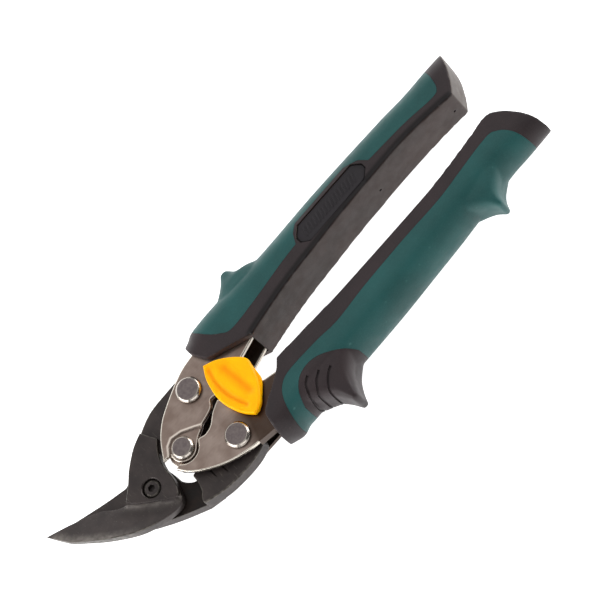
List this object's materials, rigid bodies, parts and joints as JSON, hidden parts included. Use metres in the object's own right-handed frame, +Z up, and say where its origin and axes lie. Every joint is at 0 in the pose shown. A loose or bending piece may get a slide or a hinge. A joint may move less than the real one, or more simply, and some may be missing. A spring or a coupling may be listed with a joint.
{
  "type": "aviation snips",
  "caption": "Compact offset compound-action metal snips with riveted steel handles, two-part moulded grips and a thumb latch.",
  "frame": {"origin": "middle of the tool's plan at the plane that the closed tool lies on", "axes": "+X along the closed tool towards the blade tips, +Y towards the right handle, +Z up along the pivot pins"},
  "size_m": [0.1802, 0.0588, 0.0174],
  "materials": {
    "black_oxide_steel": "forged steel with a black oxide finish, scratched",
    "satin_steel": "satin steel sheet with bright sheared edges",
    "rivet_steel": "turned steel, flat pressed heads",
    "bright_steel": "plain bright steel",
    "dark_grip": "fine-textured charcoal moulding",
    "green_grip": "fine-textured dark teal soft moulding",
    "yellow_plastic": "smooth yellow-orange moulding"
  },
  "bodies": {
    "left_handle": {"left_channel": "satin_steel", "left_grip_core": "dark_grip", "left_grip_sleeve": "green_grip", "left_name_plate": "dark_grip", "handle_pivot_rivet": "rivet_steel", "handle_pivot_sleeve": "bright_steel", "left_tail_rivet": "rivet_steel", "return_spring": "bright_steel"},
    "right_handle": {"right_channel": "satin_steel", "right_grip_core": "dark_grip", "right_grip_sleeve": "green_grip", "right_thumb_rest": "dark_grip", "right_tail_rivet": "rivet_steel"},
    "upper_blade": {"upper_blade": "black_oxide_steel", "blade_pivot_screw": "black_oxide_steel", "blade_pivot_washer": "bright_steel", "blade_pivot_nut": "black_oxide_steel"},
    "lower_blade": {"lower_blade": "black_oxide_steel"},
    "latch": {"latch_knob_top": "yellow_plastic", "latch_knob_bottom": "yellow_plastic", "latch_pin": "bright_steel", "latch_slide": "bright_steel"}
  },
  "joints": [
    {"name": "handle_open", "type": "hinge", "parent": "left_handle", "child": "right_handle", "pos_m": [0.04496, -0.0004, 0.0087], "axis": [0, 0, -1], "range_deg": [0, 34]},
    {"name": "upper_blade_turn", "type": "hinge", "parent": "left_handle", "child": "upper_blade", "pos_m": [0.03186, -0.0109, 0.0087], "axis": [0, 0, -1], "range_deg": [0, 9.7]},
    {"name": "lower_blade_turn", "type": "hinge", "parent": "upper_blade", "child": "lower_blade", "pos_m": [0.05936, -0.0004, 0.0087], "axis": [0, 0, -1], "range_deg": [0, 14.8]},
    {"name": "latch_slide", "type": "slide", "parent": "left_handle", "child": "latch", "axis": [-1, 0, 0], "range_m": [0, 0.003]}
  ],
  "couplings": [
    {"joint": "upper_blade_turn", "follows": "handle_open", "ratio": 0.284},
    {"joint": "lower_blade_turn", "follows": "handle_open", "ratio": 0.434}
  ]
}
